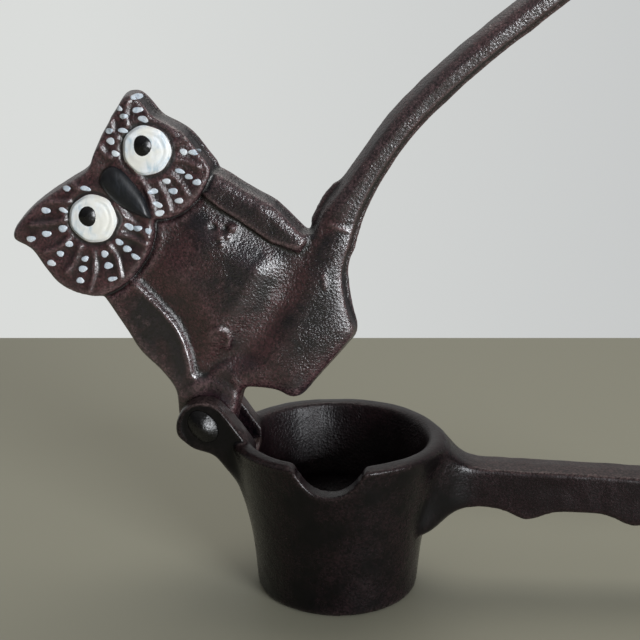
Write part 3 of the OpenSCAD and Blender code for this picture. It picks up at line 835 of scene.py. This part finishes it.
# %% Sand and wear of the owl
wing_smooth = (1 - ease(right_of_ridge, 0, 0.6)) * (1 - ease(x, 12, 16)) * (1 - on_head)
sand = 0.7 + 0.4 * ease(x, 26, 40) - 0.5 * wing_smooth - 0.35 * on_head + 0.4 * hollow
sand -= 0.5 * ease(x, 54, 59) + 0.45 * right_wing_skin
sand = blend(sand * (1 - 0.55 * oval_patch(38, 17, 5.5, 8)), 1.0, side_wall)
worn_neck = 0.8 * np.exp(-(((x - 5.5) / 3.2) ** 2 + ((z - 6.5) / 1.8) ** 2))
flakes = ease(lumps(points, 1.1, 61), 0.4, 0.75) * ease(lumps(points, 5.0, 62), -0.1, 0.3)
bare = 0.55 * flakes * front * (1 - on_head) * (1 - black)
worn = np.maximum.reduce([worn_neck, 0.9 * pink_lump, bare])
measure_wear_and_shade(owl, spread=16, full=0.22, sand=sand, worn=worn, rust=brown - black)

# %% [markdown]
# ## Dress a piece
# A new piece stands for its CAD node: it takes a finish, rides on the same body and hides the
# node, which stays behind it for collisions.

# %% Dress the owl
def dress(piece, material, body, node):
    """Gives a piece its finish and its body, and lets it stand for its CAD node."""
    piece.data.materials.clear()
    piece.data.materials.append(material)
    piece.data.shade_smooth()
    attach(piece, body)
    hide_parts(node)
    print(piece.name, "rides on", body)


dress(owl, OWL_IRON, "lever", "owl_lever")

# %% [markdown]
# ## The cup
# The cup is the same iron, rougher outside where nobody filed it. Each ear has a dished boss
# round the rivet and melts into the cup below. The slot and the bore stay as they are, because
# the lever and the rivet have to fit them. A sculptor would use a brush, but the same array
# tools as on the owl keep those fits exact.

# %% Carve the cup
EAR_SPINE = np.array([[HINGE[0], HINGE[2]], [-25.0, 34.0]])
NUB = [-21.2, -8.3, 42.4]      # a lump left on the front ear
SLOT_HALF = 4.9                # mm, the slot's half width, which has to let the knuckle pass

points, normals = points_of(cup)
x, y, z = points.T
outward = np.stack([np.zeros(len(points)), np.sign(y), np.zeros(len(points))], axis=1)
ear_face = ease(-x, 20, 23) * ease(np.abs(y), 10.3, 10.9) * ease(np.abs(normals[:, 1]), 0.6, 0.9)
dish = -0.45 * ear_face * (1 - ease(away(points[:, [0, 2]], EAR_SPINE), 4.9, 5.9))
in_slot = (np.abs(y) < 5.2) & (x < -18) & (z > 35)
in_bore = np.hypot(x - HINGE[0], z - HINGE[2]) < 3.2
still = ~(in_slot | in_bore)
flat_base = ease(z, 0.3, 1.5)
waves = (0.10 * lumps(points, 7.0, 41) + 0.07 * lumps(points, 3.0, 42)) * still * flat_base
nub = 0.9 * np.exp(-((points - NUB) ** 2).sum(1) / 1.5 ** 2) * still
moved = points + outward * dish[:, None] + normals * (waves + nub)[:, None]
melt = ease(-x, 16, 21) * (1 - ease(z, 36, 39)) * ease(z, 4, 8)
root = np.exp(-((x - 26) / 6) ** 2)
moved = soften(cup, moved, np.clip((melt + root) * still * flat_base, 0, 1), 40)
moved[in_slot, 1] = np.sign(y[in_slot]) * np.maximum(np.abs(moved[in_slot, 1]), SLOT_HALF)
put_points(cup, moved)
print("the cup moved by up to %.1f mm" % np.abs(moved - points).max())

# %% [markdown]
# ## Wear of the cup
# Hands have worn the top of the grip and of the ears. Grime sits on the grip, on the rim and
# inside the bowl, which is scraped in use, while the ears' faces are wiped black.

# %% Wear of the cup
on_grip = ease(x, 28, 38)
reach = np.hypot(x, y)
inside = ease(-(normals[:, 0] * x + normals[:, 1] * y) / reach, 0.2, 0.6) * (reach < 24)
rim_top = (np.abs(reach - 22) < 6) * ease(z, 33, 36)
facing_up = ease(normals[:, 2], 0.3, 0.8)
ear_top = ease(-x, 20.5, 22) * ease(z, 39, 41) * (np.abs(y) > 5.2)
worn = 0.6 * on_grip * facing_up + 0.55 * ear_top * facing_up
grime = np.maximum.reduce([0.5 * on_grip, 0.4 * inside, 0.4 * rim_top * facing_up]) - ear_face
sand = 0.45 - 0.15 * on_grip + 0.5 * inside - 0.25 * ear_face
measure_wear_and_shade(cup, spread=10, full=1.1, sand=sand, worn=worn, rust=grime)
dress(cup, CUP_IRON, "base", "cup_casting")

# %% [markdown]
# ## Grids
# The small round pieces could start as spheres and be squashed, but their outlines aren't round.
# They are grids of rings instead: a list of rings of points, closed at both ends.

# %% Ring meshes
def made_object(name, points, faces):
    """An object from points in mm and faces, with its normals turned outwards."""
    mesh = bpy.data.meshes.new(name)
    mesh.from_pydata((np.asarray(points) * MM).tolist(), [], faces)
    mesh.validate()
    work = bmesh.new()
    work.from_mesh(mesh)
    bmesh.ops.recalc_face_normals(work, faces=work.faces)
    work.to_mesh(mesh)
    work.free()
    piece = bpy.data.objects.new(name, mesh)
    bpy.context.scene.collection.objects.link(piece)
    print(name, "has", len(faces), "faces")
    return piece


def ring_mesh(name, rings):
    """A closed mesh through rings of points in mm, each end drawn together to a point."""
    rings = [np.asarray(r, float) for r in rings]
    n = len(rings[0])
    points = np.vstack([rings[0].mean(0)] + rings + [rings[-1].mean(0)])
    top = 1 + (len(rings) - 1) * n
    last = len(points) - 1
    faces = []
    for start in range(1, top, n):
        for i in range(n):
            j = (i + 1) % n
            faces.append((start + i, start + j, start + n + j, start + n + i))
    for i in range(n):
        j = (i + 1) % n
        faces.append((0, 1 + j, 1 + i))
        faces.append((last, top + i, top + j))
    return made_object(name, points, faces)


print("rings are ready")

# %% [markdown]
# ## The rivet
# One iron rivet holds the tool together. Its front head was hammered to a smooth oval, with its
# crest a little off the middle, and its tail to a low round button. A squashed sphere would
# put the crest in the middle, but each ring of a ring mesh can be moved a little.

# %% Rivet
HEAD = (8.8, 6.4, 1.7)         # length, width and height of the oval head in mm
HEAD_TILT = math.radians(52)
CREST = 0.3                    # mm, how far the head's top lies to the lower left
EAR_FACE = 11.3                # mm from the middle to the face of an ear
SHANK = 2.5                    # mm, radius
TAIL = (3.8, 1.3)              # radius and height of the tail in mm
HAMMERED = 0.10                # mm, height of the hammer's marks


def oval(long, wide, tilt, depth, count=64):
    """Points of an oval `depth` mm behind the middle, its length turned down by tilt."""
    w = np.linspace(0, 2 * math.pi, count, endpoint=False)
    a, b = long / 2 * np.cos(w), wide / 2 * np.sin(w)
    return np.stack([a * math.cos(tilt) + b * math.sin(tilt), depth + 0 * a,
                     b * math.cos(tilt) - a * math.sin(tilt)], axis=1)


rings = []
for share in (0.05, 0.15, 0.3, 0.45, 0.6, 0.75, 0.88, 0.96, 1.0):
    depth = -EAR_FACE + 0.35 - HEAD[2] * (1 - share ** 1.6)
    ring = oval(HEAD[0] * share, HEAD[1] * share, HEAD_TILT, depth)
    ring += CREST * (1 - share) * np.array([-math.sin(HEAD_TILT), 0, -math.cos(HEAD_TILT)])
    rings.append(ring)
for radius, depth in ((SHANK, -EAR_FACE + 0.4), (SHANK, EAR_FACE - 0.1), (TAIL[0], EAR_FACE),
                      (TAIL[0] - 0.1, EAR_FACE + 0.5), (TAIL[0] - 0.9, EAR_FACE + 1.1),
                      (1.6, EAR_FACE + TAIL[1])):
    rings.append(oval(2 * radius, 2 * radius, 0, depth))
rivet = ring_mesh("rivet", [r + HINGE * [1, 0, 1] for r in rings])
points, normals = points_of(rivet)
put_points(rivet, points + normals * (HAMMERED * lumps(points, 1.7, 51))[:, None])
measure_wear_and_shade(rivet, spread=2, full=0.3, sand=1.0)
dress(rivet, RIVET_IRON, "base", "hinge_rivet")

# %% [markdown]
# ## Eyes
# A disc of iron under each eye carries a thick coat of white. The coat has a rolled outer rim,
# a faint furrow inside it, and a soft dome that the pupil sits on. Its outline wavers, as a
# hand-held brush does. One formula gives the height of the white anywhere on the eye, so that
# the pupil can be laid on it afterwards.

# %% Eyes
EYE_R = 5.65                   # mm
EYE_H = 1.3                    # mm
FACE_Y = -6.05                 # mm, where the head's front lies
SPOKES = 96
AROUND = np.linspace(0, 2 * math.pi, SPOKES, endpoint=False)
SIDES = {"left": 1.0, "right": 4.0}     # a phase for each eye, so that the two differ


def eye_height(r, w, phase):
    """Height of the white above the face, in mm, at radius r and angle w."""
    dome = EYE_H * (1 - 0.42 * (r / EYE_R) ** 2)
    furrow_r = 4.1 + 0.2 * np.sin(w + phase)
    furrow = (0.08 + 0.07 * np.sin(w + 2 * phase)) * np.exp(-((r - furrow_r) / 0.35) ** 2)
    shoulder = ease(EYE_R - r, 0, 0.75)
    streaks = 0.035 * np.sin(3 * w + 1.7 * r + phase) * np.sin(2.2 * r + phase)
    return dome * (0.12 + 0.88 * shoulder) - furrow + streaks * shoulder


def on_face(side, dx, dz, height):
    """A point on the swung face, from an eye's middle, `height` mm in front of the head."""
    ex, _, ez = EYES[side]
    ring = np.stack([ex + dx, FACE_Y - height + 0 * dx, ez + dz], axis=-1)
    return swung(ring.reshape(-1, 3))


for side, phase in SIDES.items():
    wavy = 1 + 0.015 * np.sin(3 * AROUND + phase) + 0.014 * np.sin(7 * AROUND + 2 * phase)
    rings = [on_face(side, 0.3 * np.cos(AROUND), 0.3 * np.sin(AROUND),
                     eye_height(0.3, AROUND, phase))]
    for r in np.linspace(0.6, EYE_R, 26):
        rings.append(on_face(side, r * wavy * np.cos(AROUND), r * wavy * np.sin(AROUND),
                             eye_height(r, AROUND, phase)))
    for rim in (EYE_R * wavy, 3):
        rings.append(on_face(side, rim * np.cos(AROUND), rim * np.sin(AROUND), -0.45))
    dress(ring_mesh("eye_" + side, rings), WHITE, "lever", "eye_white_" + side)

# %% [markdown]
# ## Pupils
# The owl looks up and a little aside. Each pupil is one wet dab of black, a little longer the
# way the brush left it, and thickest in its middle.

# %% Pupils
PUPIL_R = 2.2                  # mm
PUPIL_H = 0.6                  # mm

for side, phase in SIDES.items():
    corners = np.array([list(c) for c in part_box("pupil_" + side)]) / MM
    mid_x, _, mid_z = upright(corners.mean(0)[None])[0] - EYES[side]
    longer = 0.07 * np.cos(2 * (AROUND - math.radians(40)))
    radius = PUPIL_R * (1 + longer + 0.025 * np.sin(3 * AROUND + phase))
    rings = []
    for share in (0.06, 0.2, 0.4, 0.6, 0.8, 0.93, 1.0):
        dx = mid_x + share * radius * np.cos(AROUND)
        dz = mid_z + share * radius * np.sin(AROUND)
        under = eye_height(np.hypot(dx, dz), AROUND, phase)
        rings.append(on_face(side, dx, dz, under + PUPIL_H * (1 - share ** 2) + 0.05))
    rings.append(on_face(side, dx, dz, under - 0.3))
    rings.append(on_face(side, mid_x + 0.2 * (dx - mid_x), mid_z + 0.2 * (dz - mid_z),
                         under - 0.4))
    dress(ring_mesh("wet_pupil_" + side, rings), BLACK, "lever", "pupil_" + side)

# %% [markdown]
# ## Beak
# The beak is a long drop-shaped boss with a satin coat, blunt at the brow and sharp at its tip.
# Its rings shrink from the outline towards a short spine, which keeps the tip sharp.

# %% Beak
# its outline on the upright owl, from the tip round by the right side
BEAK_EDGE = [(30.3, 40.7), (32.9, 44.6), (34.0, 48.3), (34.7, 52.3), (34.1, 55.2), (31.8, 56.2),
             (29.4, 55.4), (28.4, 53.4), (27.9, 50.6), (27.9, 48.0), (28.5, 45.0), (29.5, 42.2)]
BEAK_PROUD = 1.5               # mm in front of the face
BEAK_SUNK = -0.4               # mm, where its hidden edge lies
STEPS = 6

outline = curve(BEAK_EDGE[-2:] + BEAK_EDGE + BEAK_EDGE[:2], STEPS)[2 * STEPS:-2 * STEPS]
spine = np.stack([np.interp(outline[:, 1], [40.7, 55.0], [30.4, 31.6]),
                  np.clip(outline[:, 1], 43.5, 52.8)], axis=1)
rings = []
for share in (1.0, 0.99, 0.93, 0.82, 0.66, 0.46, 0.24):
    proud = BEAK_SUNK if share == 1.0 else BEAK_PROUD * (1 - share ** 2.4) ** 0.6
    ring = spine + (outline - spine) * share
    rings.append(swung(np.stack([ring[:, 0], FACE_Y - proud + 0 * ring[:, 0], ring[:, 1]],
                                axis=1)))
dress(ring_mesh("beak", rings), BEAK, "lever", "beak_paint")

# %% [markdown]
# ## Feather dots
# A dab of thick paint isn't round: it is a little pillow, longer the way the brush was pulled.
# The dots sit in rows between the feather ridges. A ray on to the carved face finds the iron
# under each point of a dab, so that the paint follows the ridges that it crosses.

# %% Places of the dots
# each row: its angle about the eye on the upright owl, then each dot's distance in mm
DOT_ROWS = {
    "left": [(52, 7.2), (81, 9.3), (115, 7.4), (121, 11.5), (148, 7.9, 12.1, 16.1),
             (175, 8.7, 12.0, 15.2), (-155, 10.0, 12.5, 15.4), (-125, 8.7, 11.6, 14.9),
             (-93, 8.1, 10.5, 13.2), (-62, 8.7, 10.7, 13.3)],
    "right": [(-133, 9.5), (-130, 12.7, 14.7), (-108, 8.3, 11.0, 13.6), (-82, 8.9, 11.3, 13.6),
              (-52, 8.6, 10.9), (44, 7.1), (51, 9.3, 12.3), (73, 9.2, 11.4), (90, 7.0),
              (103, 9.7), (116, 8.6), (136, 7.4)]}
IRON_TREE = BVHTree.FromObject(owl, bpy.context.evaluated_depsgraph_get())


def iron_y(px, pz):
    """Where the carved face lies at a place of the swung owl, in mm along Y."""
    hit = IRON_TREE.ray_cast(Vector((px * MM, -0.05, pz * MM)), Vector((0, 1, 0)))[0]
    return hit.y / MM


print("dots:", {side: sum(len(row) - 1 for row in rows) for side, rows in DOT_ROWS.items()})

# %% [markdown]
# ## One dab
# A dab is five rings: four make the pillow, and the last goes into the iron, so that no gap
# shows at its edge.

# %% Feather dots
DAB_SPOKES = 16
# share of the dab's outline, and height above the iron in mm
DAB_RINGS = ((0.3, 0.2), (0.62, 0.18), (0.88, 0.12), (1.0, 0.03), (1.02, -0.2))


def dab(middle, rng):
    """The points of one dab, ring by ring, about its middle on the swung face."""
    w = np.linspace(0, 2 * math.pi, DAB_SPOKES, endpoint=False)
    turn = rng.uniform(-0.45, 0.2)
    long, wide = rng.uniform(0.85, 1.2), rng.uniform(0.6, 0.82)
    wavy = 1 + 0.1 * np.sin(2 * w + rng.uniform(0, 6)) + 0.07 * np.sin(3 * w + rng.uniform(0, 6))
    points = []
    for share, height in DAB_RINGS:
        a, b = long * share * wavy * np.cos(w), wide * share * wavy * np.sin(w)
        across_dab = middle[0] + a * math.cos(turn) - b * math.sin(turn)
        up_dab = middle[2] + a * math.sin(turn) + b * math.cos(turn)
        points += [(px, iron_y(px, pz) - height, pz) for px, pz in zip(across_dab, up_dab)]
    return points


def dab_faces(start):
    """The faces of a dab whose first point is number `start`."""
    n = DAB_SPOKES
    faces = []
    for ring in range(start, start + (len(DAB_RINGS) - 1) * n, n):
        for i in range(n):
            j = (i + 1) % n
            faces.append((ring + i, ring + j, ring + n + j, ring + n + i))
    faces.append([start + i for i in reversed(range(n))])
    faces.append([start + (len(DAB_RINGS) - 1) * n + i for i in range(n)])
    return faces


for side, seed in (("left", 12), ("right", 15)):
    rng = np.random.default_rng(seed)
    points, faces = [], []
    for angle, *distances in DOT_ROWS[side]:
        for reach in distances:
            w = math.radians(angle)
            spot = EYES[side] + np.array([reach * math.cos(w), 0, reach * math.sin(w)])
            faces += dab_faces(len(points))
            points += dab(swung(spot[None])[0], rng)
    dress(made_object("dots_" + side, points, faces), DOT, "lever", "feather_dots_" + side)

# %% [markdown]
# ## Floor
# The tool needs something plain to stand on, which takes its shadow. One flat face is enough. It
# ends a little way behind the tool, so that the backdrop begins where the photograph's does.

# %% Floor
FLOOR_BACK = 0.242             # m behind the cup's middle
FLOOR_REACH = 1.5              # m to the other three sides


def plain(name, hex_code, roughness):
    """A plain matt finish. It gives the eye a quiet ground and a soft shadow."""
    material, shader = new_material(name)
    shader.inputs["Base Color"].default_value = colour(hex_code)
    shader.inputs["Roughness"].default_value = roughness
    return material


floor_mesh = bpy.data.meshes.new("table_top")
floor_mesh.from_pydata([(-FLOOR_REACH, -FLOOR_REACH, 0), (FLOOR_REACH, -FLOOR_REACH, 0),
                        (FLOOR_REACH, FLOOR_BACK, 0), (-FLOOR_REACH, FLOOR_BACK, 0)],
                       [], [(0, 1, 2, 3)])
floor = bpy.data.objects.new("table_top", floor_mesh)
floor_mesh.materials.append(plain("plain_table", "#9d9b89", 0.6))
bpy.context.scene.collection.objects.link(floor)
floor.rotation_euler.z = math.radians(CAMERA_TURN)
floor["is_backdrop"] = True
print("the floor ends", FLOOR_BACK, "m behind the cup")

# %% [markdown]
# ## Lamps
# One large soft lamp stands low to the right, so that surfaces turned a little to the right
# shine. A weak lamp above and behind draws the upper edges. Spots or a sun would be simpler,
# but black iron shows the lamps' own shapes, and only a broad rectangle looks like daylight.

# %% Lamps
def lamp(name, place, aim, size, watts, tint):
    """A rectangular soft light at a place in metres, turned towards aim."""
    light = bpy.data.lights.new(name, "AREA")
    light.shape = "RECTANGLE"
    light.size, light.size_y = size
    light.energy = watts
    light.color = colour(tint)[:3]
    holder = bpy.data.objects.new(name, light)
    holder.location = place
    holder.rotation_euler = (Vector(aim) - Vector(place)).to_track_quat("-Z", "Y").to_euler()
    bpy.context.scene.collection.objects.link(holder)


lamp("window", (0.99, -1.15, 0.29), (0, 0, 0.08), (0.56, 0.58), 23.0, "#f8fbff")
lamp("skylight", (0.10, 0.25, 0.80), (0, 0, 0.06), (0.6, 0.5), 1.6, "#fffaf4")
print("lit by", len(bpy.data.lights), "lamps")

# %% [markdown]
# ## Room light
# The camera sees a pale backdrop that darkens a little to the right. All other rays see a dim
# room that is brighter behind the tool and overhead, which gives the black iron dark fronts and
# clear edges. A real room could be modelled, but Light Path's Is Camera Ray tells the two apart
# with a few nodes.

# %% Room light
world = bpy.data.worlds.new("room")
bpy.context.scene.world = world
world.use_nodes = True
world.node_tree.nodes.clear()
direction = add(world, "TexCoord").outputs["Generated"]
facing = add(world, "SeparateXYZ", Vector=direction)
darker = add(world, "MapRange", i0=facing.outputs["X"], i1=-0.3, i2=0.3)
pale = add(world, "Mix", {"data_type": "RGBA"}, i0=darker.outputs[0],
           i6=colour("#dadcda"), i7=colour("#c6c8c8"))
backdrop = add(world, "Background", Color=pale.outputs[2], Strength=1.0)
behind = add(world, "MapRange", i0=facing.outputs["Y"], i1=-0.1, i2=0.5, i3=0.06, i4=0.5)
to_right = add(world, "MapRange", i0=facing.outputs["X"], i1=-0.1, i2=0.5, i3=1.0, i4=0.5)
overhead = add(world, "MapRange", i0=facing.outputs["Z"], i1=0.1, i2=0.9, i3=0.0, i4=0.25)
around = add(world, "Math", {"operation": "MULTIPLY"}, i0=behind.outputs[0],
             i1=to_right.outputs[0])
level = add(world, "Math", {"operation": "ADD"}, i0=around.outputs[0], i1=overhead.outputs[0])
room = add(world, "Background", Color=colour("#efefee"), Strength=level.outputs[0])
camera_ray = add(world, "LightPath").outputs["Is Camera Ray"]
which = add(world, "MixShader", i0=camera_ray, i1=room.outputs[0], i2=backdrop.outputs[0])
add(world, "OutputWorld", Surface=which.outputs[0])
bpy.context.scene.view_settings.view_transform = "Standard"
print("room light has", len(world.node_tree.nodes), "nodes")

# %% [markdown]
# ## Size
# Blender must not change the tool's real size. The box of the CAD model and the box of the
# dressed one are printed side by side, so that they can be compared.

# %% Print the size
new_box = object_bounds()
for name, box in (("CAD", CAD_BOX), ("visual", new_box)):
    print(name, "box in mm:", [round(v / MM, 1) for c in box for v in c])
